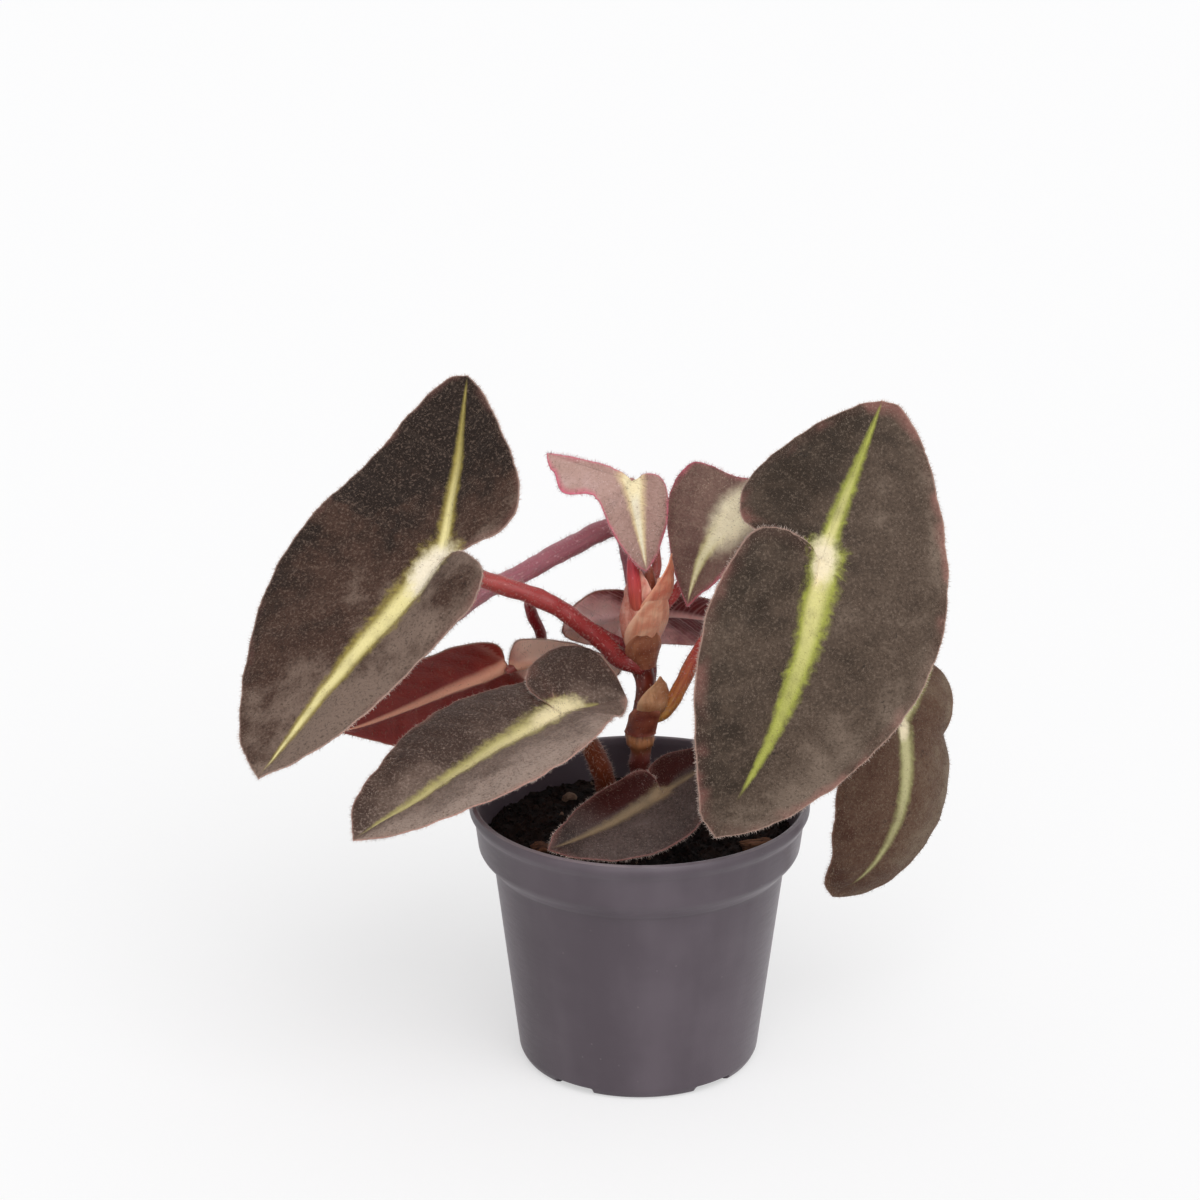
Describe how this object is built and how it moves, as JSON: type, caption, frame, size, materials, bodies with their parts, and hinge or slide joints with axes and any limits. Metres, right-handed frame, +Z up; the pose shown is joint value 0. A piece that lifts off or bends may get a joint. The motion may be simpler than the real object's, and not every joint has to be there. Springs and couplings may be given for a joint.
{
  "type": "potted begonia",
  "caption": "Small striped begonia with lopsided velvety leaves on red petioles, growing in a plain tapered plastic nursery pot of soil.",
  "frame": {"origin": "centre of the pot's underside, on the surface it stands on", "axes": "+Z up; -Y towards the front of the plant; +X to the right, seen from the front"},
  "size_m": [0.1242, 0.0748, 0.1228],
  "materials": {
    "pot": "moulded, slightly satin",
    "soil": "crumbly, moist",
    "leaf": "velvety, with short pale hairs",
    "young_leaf": "velvety, pink at the margin",
    "petiole": "satin, finely hairy",
    "stem": "satin",
    "stipule": "papery, slightly see-through",
    "bark": "rough",
    "perlite": "porous"
  },
  "bodies": {
    "root": {"pot": "pot", "soil": "soil", "main_stem": "stem", "leaf_right_large": "leaf", "leaf_left_large": "leaf", "leaf_front_left": "leaf", "leaf_back_left": "leaf", "leaf_front_low": "leaf", "leaf_right_hanging": "leaf", "leaf_back": "leaf", "leaf_left_behind": "leaf", "leaf_top_centre": "young_leaf", "leaf_top_right": "young_leaf", "petiole_right_large": "petiole", "petiole_left_large": "petiole", "petiole_front_left": "petiole", "petiole_back_left": "petiole", "petiole_front_low": "petiole", "petiole_right_hanging": "petiole", "petiole_top_centre": "petiole", "petiole_top_right": "petiole", "petiole_back": "petiole", "petiole_left_behind": "petiole", "leaf_bud": "young_leaf", "stipule_low_node": "stipule", "stipule_right_node": "stipule", "stipule_middle": "stipule", "stipule_upper_front": "stipule", "stipule_upper_left": "stipule", "stipule_tip_right": "stipule", "stipule_tip_left": "stipule", "bark_chip_right": "bark", "bark_chip_left": "bark", "bark_chip_back": "bark", "perlite_grain": "perlite"}
  },
  "joints": []
}
